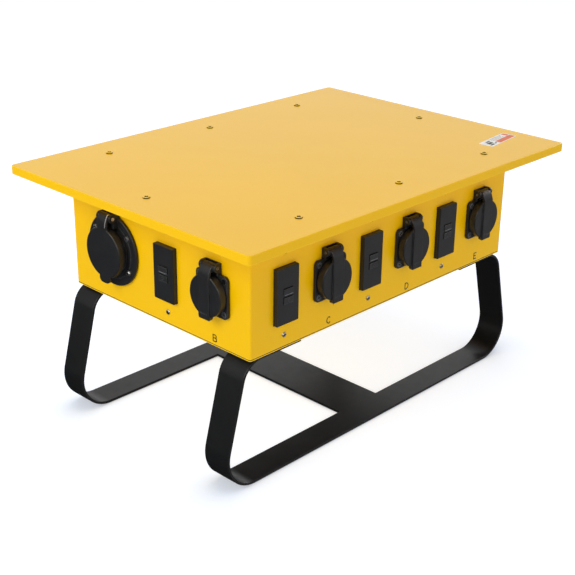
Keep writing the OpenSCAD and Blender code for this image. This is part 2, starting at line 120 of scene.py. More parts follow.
def bump(tree, heights):
    """Bump nodes in a row, one for each (height output, strength, depth in metres)."""
    normal = None
    for height, strength, depth in heights:
        made = node(tree, "ShaderNodeBump", inputs={"Strength": strength, "Distance": depth})
        tree.links.new(height, made.inputs["Height"])
        if normal is not None:
            tree.links.new(normal, made.inputs["Normal"])
        normal = made.outputs["Normal"]
    return normal


def edge_mask(tree, reach):
    """0 on flat ground and 1 within `reach` of an edge, made uneven by a soft noise."""
    rounded = node(tree, "ShaderNodeBevel", {"samples": 4}, {"Radius": reach})
    plain = node(tree, "ShaderNodeNewGeometry")
    turn = node(tree, "ShaderNodeVectorMath", {"operation": "DOT_PRODUCT"})
    tree.links.new(rounded.outputs["Normal"], turn.inputs[0])
    tree.links.new(plain.outputs["Normal"], turn.inputs[1])
    edge = remap(tree, turn.outputs["Value"], 0.995, 0.90, 0.0, 1.0)
    patches = remap(tree, noise(tree, 60.0, 4.0), 0.30, 0.62, 0.35, 1.0)
    made = node(tree, "ShaderNodeMath", {"operation": "MULTIPLY"})
    tree.links.new(edge, made.inputs[0])
    tree.links.new(patches, made.inputs[1])
    return made.outputs["Value"]


def tone(colour, gain):
    """The colour made lighter or darker."""
    return tuple(min(1.0, c * gain) for c in colour) + (1.0,)


def surface(name, colour, roughness, spread=0.06, specular=0.5, metallic=0.0, mottle=(14.0, 0.05),
            grain=((2600.0, 0.25, 0.00008),), edge=None, reach=0.0008):
    """A material with soft colour variation, an uneven gloss, a fine relief and lighter edges.
    Mottle is (cells in a metre, depth of the colour change). Grain lists (cells in a metre, strength,
    depth in metres). Edge is the colour within `reach` of an edge: rubbed wear, and on the yellow paint,
    nylon and buttons also a painted highlight."""
    material, tree, shader = new_material(name)
    shader.inputs["Specular IOR Level"].default_value = specular
    shader.inputs["Metallic"].default_value = metallic
    cells, depth = mottle
    clouds = remap(tree, noise(tree, cells, 4.0), 0.35, 0.65, 0.0, 1.0)
    base = mix_colour(tree, clouds, tone(colour, 1 - depth), tone(colour, 1 + depth))
    # Lighter edges: wear, and for some materials a painted highlight.
    if edge is not None:
        base = mix_colour(tree, edge_mask(tree, reach), base, tuple(edge) + (1.0,))
    tree.links.new(base, shader.inputs["Base Color"])
    gloss = remap(tree, noise(tree, cells * 9, 3.0), 0.3, 0.7, roughness - spread, roughness + spread)
    tree.links.new(gloss, shader.inputs["Roughness"])
    heights = [(noise(tree, scale, 2.0), strength, depth) for scale, strength, depth in grain]
    tree.links.new(bump(tree, heights), shader.inputs["Normal"])
    return material


# ---------------------------------------------------------------- materials

def yellow_paint():
    """Semi-gloss powder coat with a faint orange peel. Its edges are lighter where the coat thins, and more
    so as a painted highlight along the bends.
    """
    return surface("yellow_powder_coat", (0.85, 0.478, 0.001), 0.21, 0.02, 0.26, mottle=(5.0, 0.014),
                   grain=((900.0, 0.05, 0.00006),), edge=(1.0, 0.66, 0.03), reach=0.0015)


def black_paint():
    """Satin black powder coat of the sled, rubbed a little at its edges."""
    return surface("black_powder_coat", (0.0085, 0.0085, 0.009), 0.33, 0.04, 0.27, mottle=(9.0, 0.12),
                   grain=((900.0, 0.08, 0.00008), (2600.0, 0.06, 0.00004)), edge=(0.030, 0.030, 0.031))


def black_nylon():
    """Moulded nylon of the covers and plates, with a fine spark-eroded grain."""
    # The lighter edge colour is a painted highlight along rims, ribs and tabs, besides some wear.
    return surface("black_nylon", (0.0150, 0.0150, 0.0162), 0.36, 0.04, 0.38, mottle=(30.0, 0.12),
                   grain=((1500.0, 0.22, 0.00012), (5200.0, 0.15, 0.00004)), edge=(0.075, 0.075, 0.078))


def module_plastic():
    """Smoother black plastic of the protective modules."""
    return surface("module_plastic", (0.0150, 0.0150, 0.0162), 0.40, 0.04, 0.42, mottle=(26.0, 0.10),
                   grain=((3000.0, 0.14, 0.00006),), edge=(0.065, 0.065, 0.068))


def button_plastic():
    """Slightly lighter plastic of the push buttons."""
    # The light edge colour is a painted highlight that outlines each button.
    return surface("button_plastic", (0.0190, 0.0190, 0.0205), 0.38, 0.04, 0.45, mottle=(60.0, 0.08),
                   grain=((3600.0, 0.14, 0.00005),), edge=(0.11, 0.11, 0.112))


def insert_plastic():
    """Dense matt plastic around the contacts."""
    return surface("insert_plastic", (0.028, 0.027, 0.026), 0.55, 0.05, 0.35, mottle=(80.0, 0.10),
                   grain=((2400.0, 0.25, 0.00008),))


def zinc():
    """Zinc-plated steel of bolts and screws, with cloudy crystals."""
    return surface("zinc_plate", (0.56, 0.57, 0.58), 0.34, 0.09, 0.5, 1.0, (160.0, 0.14),
                   ((3800.0, 0.14, 0.00004),), edge=(0.80, 0.80, 0.82))


def nickel():
    """Drawn spring wire and pins."""
    return surface("nickel", (0.62, 0.61, 0.60), 0.30, 0.06, 0.5, 0.7, (260.0, 0.08),
                   ((5200.0, 0.10, 0.00003),))


def brass():
    """Brass of contacts and terminals, lightly tarnished."""
    return surface("brass", (0.78, 0.52, 0.20), 0.30, 0.08, 0.5, 1.0, (120.0, 0.16),
                   ((4200.0, 0.12, 0.00003),), edge=(0.92, 0.70, 0.36))


def breaker_grey():
    """Light grey thermoset of the circuit breakers."""
    return surface("breaker_grey", (0.44, 0.45, 0.45), 0.48, 0.05, 0.4, mottle=(40.0, 0.05),
                   grain=((2200.0, 0.20, 0.00008),), edge=(0.58, 0.58, 0.58))


def smoked_clear():
    """Smoke-tinted clear plastic of the breaker flap."""
    material, tree, shader = new_material("smoked_clear")
    shader.inputs["Transmission Weight"].default_value = 1.0
    shader.inputs["IOR"].default_value = 1.49
    clouds = remap(tree, noise(tree, 30.0), 0.3, 0.7, 0.0, 1.0)
    tint = mix_colour(tree, clouds, (0.30, 0.29, 0.27, 1.0), (0.36, 0.35, 0.33, 1.0))
    tree.links.new(tint, shader.inputs["Base Color"])
    gloss = remap(tree, noise(tree, 300.0), 0.3, 0.7, 0.04, 0.10)
    tree.links.new(gloss, shader.inputs["Roughness"])
    tree.links.new(bump(tree, [(noise(tree, 700.0), 0.04, 0.0001)]), shader.inputs["Normal"])
    return material


def blackened_steel():
    """Black oxide of the small countersunk screws, worn to grey on their rims."""
    return surface("blackened_steel", (0.10, 0.10, 0.105), 0.42, 0.08, 0.5, 0.6, (300.0, 0.2),
                   ((4200.0, 0.12, 0.00003),), edge=(0.42, 0.42, 0.43))


def recess_painted_shade():
    """Painted shade inside a screw's driving recess, with some grime; also round the cover screws' rims and
    along the bottom plate's seam.
    """
    return surface("recess_painted_shade", (0.020, 0.017, 0.013), 0.7, 0.08, 0.3, mottle=(600.0, 0.3),
                   grain=((3000.0, 0.3, 0.00005),))


def ink(name, colour):
    """A flat printed ink whose film is slightly uneven."""
    return surface(name, colour, 0.48, 0.06, 0.4, mottle=(180.0, 0.10), grain=((2400.0, 0.10, 0.00003),))


def wire_jacket():
    """Soft black wire insulation with a faint bloom."""
    return surface("wire_jacket", (0.020, 0.020, 0.022), 0.5, 0.06, 0.4, mottle=(50.0, 0.2),
                   grain=((1800.0, 0.15, 0.00008),))


MATERIALS = {
    "yellow_steel": yellow_paint(),
    "black_steel": black_paint(),
    "black_nylon": black_nylon(),
    "module_plastic": module_plastic(),
    "button_plastic": button_plastic(),
    "insert_plastic": insert_plastic(),
    "zinc": zinc(),
    "blackened_steel": blackened_steel(),
    "nickel": nickel(),
    "brass": brass(),
    "breaker_grey": breaker_grey(),
    "smoked_clear": smoked_clear(),
    "wire_jacket": wire_jacket(),
}
# A dark colour laid where shade falls: painted shade in recesses, round rims and in the seam.
PAINTED_SHADE = recess_painted_shade()
LETTER_INK = ink("letter_ink", (0.030, 0.021, 0.008))
LABEL_WHITE = ink("label_white", (0.80, 0.79, 0.76))
LABEL_ORANGE = ink("label_orange", (0.70, 0.14, 0.05))
LABEL_BLACK = ink("label_black", (0.03, 0.025, 0.02))
LABEL_GREY = ink("label_grey", (0.42, 0.36, 0.33))
# Pale strip colour for the test buttons' ridges: a painted highlight.
HIGHLIGHT_RIDGE = ink("ridge_highlight", (0.13, 0.13, 0.134))


# ---------------------------------------------------------------- mesh helpers

def finished_mesh(bm, name, sharp=38):
    """The bmesh as a smooth-shaded mesh whose edges above `sharp` degrees stay crisp."""
    bmesh.ops.recalc_face_normals(bm, faces=bm.faces)
    mesh = bpy.data.meshes.new(name)
    bm.to_mesh(mesh)
    bm.free()
    for extra in ("custom_normal", "sharp_edge", "sharp_face"):
        if extra in mesh.attributes:
            mesh.attributes.remove(mesh.attributes[extra])
    mesh.shade_smooth()
    mesh.set_sharp_from_angle(angle=math.radians(sharp))
    return mesh


def piece(name, mesh, slot, body="root", replaces=(), materials=None):
    """A finished piece of the object: painted, riding on a CAD body, and hiding the CAD nodes it
    stands in for. Its slot gives its material when no materials are listed."""
    obj = bpy.data.objects.new(name, mesh)
    bpy.context.scene.collection.objects.link(obj)
    for material in materials or [MATERIALS[slot]]:
        mesh.materials.append(material)
    weighted = obj.modifiers.new("even_normals", "WEIGHTED_NORMAL")
    weighted.keep_sharp = True
    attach(obj, body)
    if replaces:
        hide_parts(*replaces)
    return obj


def whole_faces(name):
    """A copy of a CAD node as a bmesh, its triangles joined back into flat faces."""
    bm = bmesh.new()
    bm.from_mesh(frame["nodes"][name].data)
    bmesh.ops.remove_doubles(bm, verts=bm.verts, dist=WELD)
    bmesh.ops.dissolve_limit(bm, angle_limit=math.radians(0.5), verts=bm.verts, edges=bm.edges)
    return bm


def face_room(face):
    """For each edge of the face, how far the face runs inward from the edge's middle."""
    corners = np.array([loop.vert.co for loop in face.loops])
    ends = np.roll(corners, -1, axis=0)
    normal = np.array(face.normal)
    found = []
    for start, end in zip(corners, ends):
        length = np.linalg.norm(end - start)
        along = (end - start) / max(length, 1e-9)
        inward = np.cross(normal, along)
        middle = (start + end) / 2
        x0, x1 = (corners - middle) @ along, (ends - middle) @ along
        y0, y1 = (corners - middle) @ inward, (ends - middle) @ inward
        across = np.where(np.abs(x1 - x0) < 1e-12, 1e-12, x1 - x0)
        hit = y0 + (y1 - y0) * (-x0 / across)
        good = (np.minimum(x0, x1) <= 0) & (np.maximum(x0, x1) >= 0) & (hit > 1e-6)
        found.append(hit[good].min() if good.any() else 0.0)
    return found


def edge_weights(bm, width):
    """Marks the sharp outer edges, each with the share of `width` that it has room for. Inner
    corners stay crisp, so that what moves in a pocket keeps its room."""
    sharp, share = math.radians(32), 0.42
    room = {}
    for face in bm.faces:
        for loop, free in zip(face.loops, face_room(face)):
            index = loop.edge.index
            room[index] = min(room.get(index, 1.0), free)
    layer = bm.edges.layers.float.new("bevel_weight_edge")
    for edge in bm.edges:
        if edge.is_convex and edge.calc_face_angle(0.0) > sharp:
            edge[layer] = min(1.0, share * room[edge.index] / width)


def filled_area(fill):
    """The area of all the triangles that delaunay_2d_cdt gave back."""
    points, triangles = fill[0], fill[2]
    return sum(abs((points[b] - points[a]).cross(points[c] - points[a])) / 2 for a, b, c in triangles)


def fill_flat_faces(bm):
    """Splits each many-sided face into triangles inside its outline. Rounding can fold an outline a
    little, so of two ways to tell its inside from its outside, the one nearer its area is taken."""
    many_sided = [face for face in bm.faces if len(face.verts) > 4]
    for face in many_sided:
        corners = list(face.verts)
        origin, across = corners[0].co.copy(), face.normal.orthogonal().normalized()
        upward = face.normal.cross(across)
        flat = [((v.co - origin).dot(across), (v.co - origin).dot(upward)) for v in corners]
        outline = [range(len(flat))]
        fills = [delaunay_2d_cdt(flat, [], outline, inside, 1e-7) for inside in (1, 2)]
        best = min(fills, key=lambda fill: abs(filled_area(fill) - face.calc_area()))
        points, _, triangles, sources = best[:4]
        verts = [corners[source[0]] if source else bm.verts.new(origin + across * p.x + upward * p.y)
                 for p, source in zip(points, sources)]
        for triangle in triangles:
            made = [verts[i] for i in triangle]
            if len(set(made)) == 3 and bm.faces.get(made) is None:
                bm.faces.new(made)
    bmesh.ops.delete(bm, geom=many_sided, context="FACES_ONLY")


def rounded_mesh(bm, name, width, segments):
    """The bmesh with its edges rounded to `width`, or to less where there is no room."""
    bm.edges.index_update()
    bm.normal_update()
    edge_weights(bm, width)
    mesh = bpy.data.meshes.new(name + "_rough")
    bm.to_mesh(mesh)
    bm.free()
    rough = bpy.data.objects.new(name + "_rough", mesh)
    bpy.context.scene.collection.objects.link(rough)
    bevel = rough.modifiers.new("rounding", "BEVEL")
    bevel.limit_method = "WEIGHT"
    bevel.width = width
    bevel.segments = segments
    bevel.use_clamp_overlap = False
    bpy.context.view_layer.update()
    done = bmesh.new()
    done.from_mesh(rough.evaluated_get(bpy.context.evaluated_depsgraph_get()).to_mesh())
    bpy.data.objects.remove(rough)
    bmesh.ops.remove_doubles(done, verts=done.verts, dist=WELD / 2)
    done.normal_update()
    fill_flat_faces(done)
    return finished_mesh(done, name)


def softened(name, width, segments=3):
    """A CAD node again with its edges rounded to a width in mm, in the material of its slot."""
    mesh = rounded_mesh(whole_faces(name), name + "_soft", width * MM, segments)
    body = frame["nodes"][name]["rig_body"]
    return piece(name + "_soft", mesh, SLOT_OF[name], body, [name])


def bridge(bm, loops, caps=True):
    """Skins a row of vertex loops that have the same count, and caps both ends if asked."""
    rings = [[bm.verts.new(p) for p in loop] for loop in loops]
    for first, second in zip(rings, rings[1:]):
        for i in range(len(first)):
            j = (i + 1) % len(first)
            bm.faces.new((first[i], first[j], second[j], second[i]))
    if caps:
        bm.faces.new(reversed(rings[0]))
        bm.faces.new(rings[-1])


def rounded_rectangle(half_x, half_y, radius, z, steps=8):
    """The points of a rounded rectangle at a height."""
    radius = max(radius, 0.2 * MM)
    points = []
    for quarter, (sx, sy) in enumerate(((1, 1), (-1, 1), (-1, -1), (1, -1))):
        for i in range(steps + 1):
            a = math.pi / 2 * (quarter + i / steps)
            points.append(Vector((sx * (half_x - radius) + radius * math.cos(a),
                                  sy * (half_y - radius) + radius * math.sin(a), z)))
    return points


def arc(centre, radius, start, end, steps):
    """Points on a flat arc, with angles in degrees."""
    angles = (math.radians(start + (end - start) * i / steps) for i in range(steps + 1))
    return [(centre[0] + radius * math.cos(a), centre[1] + radius * math.sin(a)) for a in angles]


# ---------------------------------------------------------------- cover and sled

def top_cover():
    """The folded cover: a flat top, a bent lip all round and a small radius on the lip's foot. Each
    point of its profile is (how far in from the edge, height)."""
    lo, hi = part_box("top_cover")
    sheet, bend, hem, corner, inner_bend, reach = (n * MM for n in (2.0, 1.1, 0.5, 5.0, 1.2, 60))
    profile = [(reach, hi.z)]
    profile += [(bend - r, hi.z - bend + s) for r, s in arc((0, 0), bend, 90, 0, 6)]
    profile += [(hem - r, lo.z + hem + s) for r, s in arc((0, 0), hem, 0, -90, 3)]
    profile += [(sheet - hem + r, lo.z + hem + s) for r, s in arc((0, 0), hem, -90, 0, 3)]
    profile += [(sheet, hi.z - sheet - inner_bend), (sheet + inner_bend / 3, hi.z - sheet - inner_bend / 3),
                (sheet + inner_bend, hi.z - sheet), (reach, hi.z - sheet)]
    bm = bmesh.new()
    bridge(bm, [rounded_rectangle(hi.x - d, hi.y - d, corner - d, z, 10) for d, z in profile])
    piece("top_cover_pan", finished_mesh(bm, "top_cover_pan"), "yellow_steel", "root", ["top_cover"])


def runner_path():
    """The sled bar's outer face from one pad round to the other, as (x, z) with its outward normal."""
    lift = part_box("front_runner")[1].z
    pad_in, leg_top, foot = 148 * MM, 233 * MM, 273.5 * MM
    bend_top, bend_foot, steps = 30 * MM, 42 * MM, 20
    tilt = math.degrees(math.atan2(foot - leg_top, lift))
    top_tan = bend_top * math.tan(math.radians((90 - tilt) / 2))
    foot_tan = bend_foot * math.tan(math.radians((90 + tilt) / 2))
    path = [(pad_in, lift, 90.0), ((pad_in + leg_top - top_tan) / 2, lift, 90.0)]
    for centre, radius, start, end in (((leg_top - top_tan, lift - bend_top), bend_top, 90, tilt),
                                       ((foot - foot_tan, bend_foot), bend_foot, tilt, -90)):
        for i in range(steps + 1):
            a = start + (end - start) * i / steps
            path.append((centre[0] + radius * math.cos(math.radians(a)),
                         centre[1] + radius * math.sin(math.radians(a)), a))
    mirrored = [(-x, z, 180 - a) for x, z, a in reversed(path)]
    return path + [(0.0, 0.0, -90.0)] + mirrored


def runner(name):
    """A flat bar bent into a sled runner, with its edges rolled round."""
    lo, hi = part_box(name)
    middle, half, bar, edge = (lo.y + hi.y) / 2, (hi.y - lo.y) / 2, 3.5 * MM, 0.9 * MM
    section = [(p.x, p.y) for p in rounded_rectangle(half, bar / 2, edge, 0, 4)]
    loops = []
    for x, z, a in runner_path():
        out = Vector((math.cos(math.radians(a)), 0, math.sin(math.radians(a))))
        centre = Vector((x, middle, z)) - out * bar / 2
        loops.append([centre + Vector((0, s, 0)) + out * t for s, t in section])
    bm = bmesh.new()
    bridge(bm, loops)
    piece(name + "_bar", finished_mesh(bm, name + "_bar", 50), "black_steel", "root", [name])


def cross_bar():
    """The plate between the runners, its ends running into their rolled edges."""
    lo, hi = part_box("cross_bar")
    edge = 0.9 * MM
    half_x, thick = (hi.x - lo.x) / 2, hi.z - lo.z
    section = [(p.x, p.y) for p in rounded_rectangle(half_x, thick / 2, edge, 0, 4)]
    bm = bmesh.new()
    bridge(bm, [[Vector((s, y, t + thick / 2)) for s, t in section]
                for y in (lo.y - edge, 0, hi.y + edge)])
    piece("cross_bar_plate", finished_mesh(bm, "cross_bar_plate", 50), "black_steel", "root", ["cross_bar"])


def bottom_plate():
    """The floor of the box, with a painted shade along its seam under the walls."""
    rounding = 0.9
    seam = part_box("bottom_plate")[1].z - rounding * MM
    obj = softened("bottom_plate", rounding, 2)
    obj.visible_glossy = False
    obj.data.materials.append(PAINTED_SHADE)
    # The rounded faces at the top of the plate's edge take the dark colour: painted shade in the seam.
    for face in obj.data.polygons:
        if face.center.z > seam and 0.1 < face.normal.z < 0.99:
            face.material_index = 1


def sheet_metal():
    """Cover, bottom plate, mouth frame, sled and its bolts. The enclosure keeps its CAD shape."""
    top_cover()
    bottom_plate()
    softened("mouth_frame", 0.4, 2)
    for name in ("front_runner", "rear_runner"):
        runner(name)
    cross_bar()
    softened("runner_bolts", 0.5, 2)


sheet_metal()


# ---------------------------------------------------------------- devices

def devices():
    """Receptacles, lids, modules, inlet, feed-through and breakers with moulded edges."""
    for letter in LETTERS:
        softened("outlet_base_" + letter, 0.8)
        softened("outlet_lid_" + letter, 1.3)
        softened("test_button_" + letter, 0.6)
        softened("reset_button_" + letter, 0.6)
    softened("gfci_bodies", 1.4)
    for name in ("inlet_flange", "feed_flange", "breaker_frame"):
        softened(name, 1.2)
    for name in ("inlet_lid", "feed_lid"):
        softened(name, 1.6, 4)
    softened("breaker_flap", 0.9)
    softened("breaker_bodies", 0.6, 2)
    for number in range(1, 7):
        softened("breaker_toggle_%d" % number, 0.8)
    for name in ("outlet_inserts", "feed_insert", "inlet_contacts"):
        softened(name, 0.4, 2)


devices()


# ---------------------------------------------------------------- screws and springs

SIDES = {"front": 0, "left": -90, "right": 90, "back": 180}


def solids(name):
    """The lowest and highest corner of each separate solid of a CAD node."""
    bm = bmesh.new()
    bm.from_mesh(frame["nodes"][name].data)
    bmesh.ops.remove_doubles(bm, verts=bm.verts, dist=WELD)
    left, found = set(bm.verts), []
    while left:
        queue, group = [left.pop()], []
        while queue:
            vert = queue.pop()
            group.append(vert.co.copy())
            for edge in vert.link_edges:
                other = edge.other_vert(vert)
                if other in left:
                    left.discard(other)
                    queue.append(other)
        found.append((Vector(map(min, *group)), Vector(map(max, *group))))
    bm.free()
    return sorted(found, key=lambda pair: tuple(round(c, 5) for c in (pair[0] + pair[1])))


def mid_height(name):
    """The height of the middle of a CAD node's box."""
    lo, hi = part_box(name)
    return (lo.z + hi.z) / 2


def side_of(centre):
    """The wall of the box that a point is nearest to."""
    beyond = {"left": WALL_FOOT.x - centre.x, "right": centre.x - WALL_TOP.x,
              "front": WALL_FOOT.y - centre.y, "back": centre.y - WALL_TOP.y}
    return max(beyond, key=beyond.get)


def facing(side):
    """The turn from a device's own axes (x right, y up, z out) to a wall of the box."""
    if side == "top":
        return Matrix.Identity(4)
    return Matrix.Rotation(math.radians(SIDES[side]), 4, "Z") @ Matrix.Rotation(math.pi / 2, 4, "X")


def outer_point(lo, hi, side):
    """The middle of a box's outermost face."""
    point = (lo + hi) / 2
    axis = {"front": 1, "back": 1, "left": 0, "right": 0, "top": 2}[side]
    point[axis] = lo[axis] if side in ("front", "left") else hi[axis]
    return point


def on_wall(centre, height):
    """The place on the nearest wall beside a point, at a height, with that wall's own axes."""
    side = side_of(centre)
    place = {"front": (centre.x, WALL_FOOT.y, height), "back": (centre.x, WALL_TOP.y, height),
             "left": (WALL_FOOT.x, centre.y, height), "right": (WALL_TOP.x, centre.y, height)}[side]
    return Matrix.Translation(place) @ facing(side)


def plus_outline(arm, half):
    """A plus sign's outline, with two more points on each of its sides."""
    corners = []
    for quarter in range(4):
        turn = Matrix.Rotation(math.pi / 2 * quarter, 2)
        corners += [turn @ Vector(p) for p in ((arm, -half), (arm, half), (half, half))]
    return [a.lerp(b, t / 3) for a, b in zip(corners, corners[1:] + corners[:1]) for t in range(3)]


def screw(bm, place, radius, profile, shank, length, recess, metal, shaded_rim):
    """One screw whose top is at the origin of `place`: a cross recess, a turned head and a shank.
    Profile lists (share of the radius, height) from the head's middle outward. Recess is the arms'
    share of the radius. Metal is the index of the head's material. A painted shade darkens the recess,
    and the head's rim where a shaded rim is asked for."""
    arm, arm_width, taper, depth = radius * recess, 0.3, 0.7, 0.5
    cross = plus_outline(arm, arm * arm_width)
    angles = [math.atan2(p.y, p.x) for p in cross]
    top = profile[0][1]
    loops = [[Vector((p.x * taper, p.y * taper, top - depth * arm)) for p in cross],
             [Vector((p.x, p.y, top)) for p in cross]]
    rings = [(radius * share, z) for share, z in profile]
    rings += [(shank, profile[-1][1]), (shank, -length + shank), (shank * 0.3, -length)]
    loops += [[Vector((r * math.cos(a), r * math.sin(a), z)) for a in angles] for r, z in rings]
    first = len(bm.faces)
    bridge(bm, [[place @ p for p in loop] for loop in loops])
    bm.faces.ensure_lookup_table()
    count = len(cross)
    # The recess faces, and the rim when asked, take the dark colour: painted shade.
    shade_faces = set(range(first, first + count)) | {len(bm.faces) - 2}
    if shaded_rim:
        rim = first + (len(profile) - 1) * count
        shade_faces |= set(range(rim, rim + 2 * count))
    for index in range(first, len(bm.faces)):
        bm.faces[index].material_index = 1 if index in shade_faces else metal


def pan_head(height):
    """A low domed head."""
    drops = ((0.62, 0.0), (0.80, 0.10), (0.93, 0.34), (1.0, 0.66), (1.0, 1.0))
    return [(share, -drop * height) for share, drop in drops]


def flat_head(height):
    """A countersunk head, flush with the plate."""
    return [(0.70, 0.0), (0.95, 0.0), (1.0, -0.06 * height), (0.55, -height)]


def screws(name, radius, profile, shank, recess=0.58, upper_from=1.0, upper_slot="blackened_steel"):
    """All the screws of one CAD node, each where its solid is, with sizes in mm. Those above a
    height in metres have the finish of another slot. Those on the cover have a painted shade round their
    rims."""
    bm = bmesh.new()
    for lo, hi in solids(name):
        side = "top" if name == "cover_screws" else side_of((lo + hi) / 2)
        length = abs((facing(side).inverted() @ (hi - lo)).z)
        place = Matrix.Translation(outer_point(lo, hi, side)) @ facing(side)
        metal = 2 if lo.z > upper_from else 0
        screw(bm, place, radius * MM, profile, shank * MM, length, recess, metal, side == "top")
    mesh = finished_mesh(bm, name + "_turned", 40)
    slot = SLOT_OF[name]
    materials = [MATERIALS[slot], PAINTED_SHADE, MATERIALS[upper_slot]]
    piece(name + "_turned", mesh, slot, "root", [name], materials)


def tube(bm, points, radius, sides=10):
    """A round wire along a row of points, with closed ends."""
    loops, normal = [], None
    for i, point in enumerate(points):
        ahead = (points[min(i + 1, len(points) - 1)] - points[max(i - 1, 0)]).normalized()
        if normal is None:
            normal = ahead.orthogonal().normalized()
        normal = (normal - ahead * normal.dot(ahead)).normalized()
        across = ahead.cross(normal)
        loops.append([point + (normal * math.cos(a) + across * math.sin(a)) * radius
                      for a in (2 * math.pi * k / sides for k in range(sides))])
    bridge(bm, loops)


def coil(radius, turns, step, leg):
    """A torsion spring's line along x, with a long straight leg at its start and a short one at its end."""
    count = turns * 20
    line = []
    for i in range(count + 1):
        a = 2 * math.pi * turns * i / count
        line.append(Vector(((i / count - 0.5) * turns * step, radius * math.cos(a), radius * math.sin(a))))
    start, end = line[0], line[-1]
    return [start + Vector((0, 0, -leg))] + line + [end + Vector((0, -0.1 * MM, 0.3 * leg))]


def lid_springs():
    """The wound wire spring at each lid's hinge, in place of the CAD's stacked rings. Rings of one
    size at one place along a wall belong to one spring."""
    groups, spacing, wire = {}, 20 * MM, 0.45 * MM
    for lo, hi in solids("lid_springs"):
        centre = (lo + hi) / 2
        side = side_of(centre)
        along = (facing(side).inverted() @ centre).x
        groups.setdefault((side, round(along / spacing), round((hi - lo).length, 3)), []).append((lo, hi))
    bm = bmesh.new()
    for (side, _, _), rings in sorted(groups.items()):
        lo = Vector(map(min, *[r[0] for r in rings], rings[0][0]))
        hi = Vector(map(max, *[r[1] for r in rings], rings[0][1]))
        size = facing(side).inverted() @ (hi - lo)
        outer, turns = abs(size.y) / 2, len(rings)
        line = coil(outer - wire, turns, 0.97 * abs(size.x) / turns, 1.2 * outer)
        place = Matrix.Translation((lo + hi) / 2) @ facing(side)
        tube(bm, [place @ p for p in line], wire)
    name = "lid_springs_wound"
    piece(name, finished_mesh(bm, name, 60), "nickel", "root", ["lid_springs"])


def fasteners():
    """The screws and the lids' springs. The upper module screws are painted with the box, and the
    upper flange screws are blackened, a darker copy of the same screw that paints the shade they sit in."""
    screws("cover_screws", 4.2, pan_head(1.6 * MM), 2.0, 0.74)
    screws("panel_screws", 3.5, flat_head(2 * MM), 1.6, 0.55)
    modules, flanges = mid_height("gfci_screws"), mid_height("flange_screws")
    painted = SLOT_OF["cover_screws"]
    screws("gfci_screws", 3.0, pan_head(1.5 * MM), 1.5, upper_from=modules, upper_slot=painted)
    # The upper flange screws take the darker finish: painted shade.
    screws("flange_screws", 3.6, pan_head(2 * MM), 1.8, upper_from=flanges)
    lid_springs()


fasteners()


# ---------------------------------------------------------------- print and marks

# Each letter's lines, as points in shares of its width and height.
STROKES = {
    "A": [[(0, 0), (0.5, 1), (1, 0)], [(0.2, 0.36), (0.8, 0.36)]],
    "B": [[(0, 0), (0, 1), (0.55, 1), (0.84, 0.90), (0.84, 0.64), (0.55, 0.53), (0, 0.53)],
          [(0.55, 0.53), (0.92, 0.42), (0.95, 0.14), (0.6, 0), (0, 0)]],
    "C": [[(0.96, 0.80), (0.72, 0.98), (0.38, 0.98), (0.08, 0.76), (0.0, 0.5), (0.08, 0.24),
           (0.38, 0.02), (0.72, 0.02), (0.96, 0.20)]],
    "D": [[(0, 0), (0, 1), (0.45, 1), (0.82, 0.84), (0.98, 0.5), (0.82, 0.16), (0.45, 0), (0, 0)]],
    "E": [[(0.9, 1), (0, 1), (0, 0), (0.9, 0)], [(0, 0.52), (0.75, 0.52)]],
    "F": [[(0.9, 1), (0, 1), (0, 0)], [(0, 0.52), (0.75, 0.52)]],
}


def stroke(bm, points, place, width, height):
    """A printed line: a ribbon of ink of one width, with mitred bends."""
    count = len(points)
    loops = []
    for i, point in enumerate(points):
        before = (point - points[max(i - 1, 0)]).normalized()
        after = (points[min(i + 1, count - 1)] - point).normalized()
        ahead = (before + after).normalized()
        miter = 1 / max(0.6, ahead.dot(after if after.length else before))
        across = Vector((-ahead.y, ahead.x, 0)) * width / 2 * miter
        low, high = Vector((0, 0, 0)), Vector((0, 0, height))
        loops.append([place @ (point + offset) for offset in
                      (across + low, -across + low, -across + high, across + high)])
    bridge(bm, loops)


def circuit_letters():
    """The letter under each receptacle, a little to the right of the receptacle's middle."""
    size, width, film = (6.0 * MM, 7.8 * MM), 1.2 * MM, 0.12 * MM
    baseline = WALL_FOOT.z + 3.5 * MM
    for letter in LETTERS:
        lo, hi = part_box("outlet_base_" + letter)
        centre = (lo + hi) / 2
        shift = 2.2 * MM if side_of(centre) in ("front", "back") else 0.3 * MM
        place = on_wall(centre, baseline)
        bm = bmesh.new()
        for line in STROKES[letter.upper()]:
            points = [Vector((shift + (x - 0.5) * size[0], y * size[1], 0)) for x, y in line]
            stroke(bm, points, place, width, film)
        name = "circuit_letter_" + letter
        piece(name, finished_mesh(bm, name), None, "root", (), [LETTER_INK])


def plate(bm, lo, hi, radius, low, high, place):
    """A flat rounded rectangle between two heights, from its corners in the plane."""
    half = ((hi[0] - lo[0]) / 2, (hi[1] - lo[1]) / 2)
    centre = Vector(((lo[0] + hi[0]) / 2, (lo[1] + hi[1]) / 2, 0))
    bridge(bm, [[place @ (p + centre) for p in rounded_rectangle(half[0], half[1], radius, z, 4)]
                for z in (low, high)])


